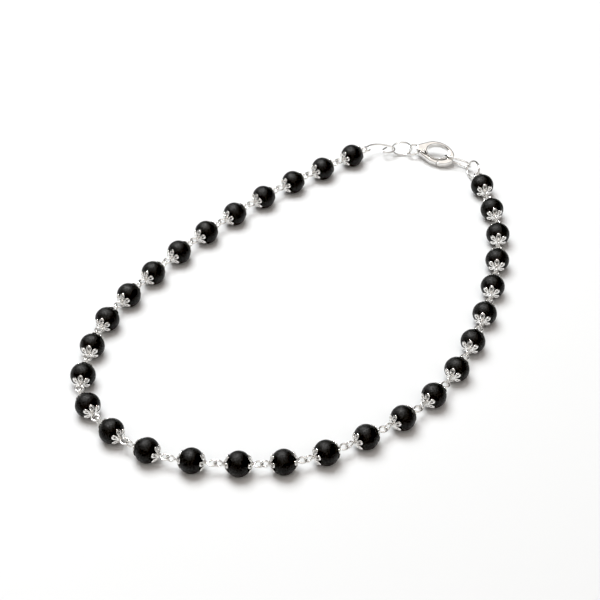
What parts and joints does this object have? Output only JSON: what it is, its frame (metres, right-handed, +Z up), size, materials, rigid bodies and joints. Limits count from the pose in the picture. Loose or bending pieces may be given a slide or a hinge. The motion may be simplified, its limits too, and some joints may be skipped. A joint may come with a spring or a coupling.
{
  "type": "mala",
  "caption": "Mala of turned black wooden beads with silver flower caps on linked eye pins, closed by a silver lobster clasp.",
  "frame": {"origin": "centre of the bounding box's underside, on the surface that the mala lies on", "axes": "+Z up, thinnest way through the string; +Y along the loop's longest way, towards the clasp; +X to the right"},
  "size_m": [0.1434, 0.1634, 0.008],
  "materials": {
    "black wood": "matt",
    "silver": "polished"
  },
  "bodies": {
    "string": {"bead_01": "black wood", "bead_02": "black wood", "bead_03": "black wood", "bead_04": "black wood", "bead_05": "black wood", "bead_06": "black wood", "bead_07": "black wood", "bead_08": "black wood", "bead_09": "black wood", "bead_10": "black wood", "bead_11": "black wood", "bead_12": "black wood", "bead_13": "black wood", "bead_14": "black wood", "bead_15": "black wood", "bead_16": "black wood", "bead_17": "black wood", "bead_18": "black wood", "bead_19": "black wood", "bead_20": "black wood", "bead_21": "black wood", "bead_22": "black wood", "bead_23": "black wood", "bead_24": "black wood", "bead_25": "black wood", "bead_26": "black wood", "bead_27": "black wood", "bead_28": "black wood", "bead_29": "black wood", "bead_30": "black wood", "chain_left": "silver", "chain_right": "silver", "left_link": "silver", "left_ring": "silver", "clasp_body": "silver", "clasp_pivot": "silver", "right_link": "silver", "right_ring": "silver"},
    "lever": {"clasp_lever": "silver"}
  },
  "joints": [
    {"name": "clasp_lever_hinge", "type": "hinge", "parent": "string", "child": "lever", "pos_m": [0.04521, 0.07794, 0.00282], "axis": [-0.1281, -0.3171, 0.9397], "range_deg": [0, 14], "stiffness_Nm_per_rad": 0.002}
  ]
}
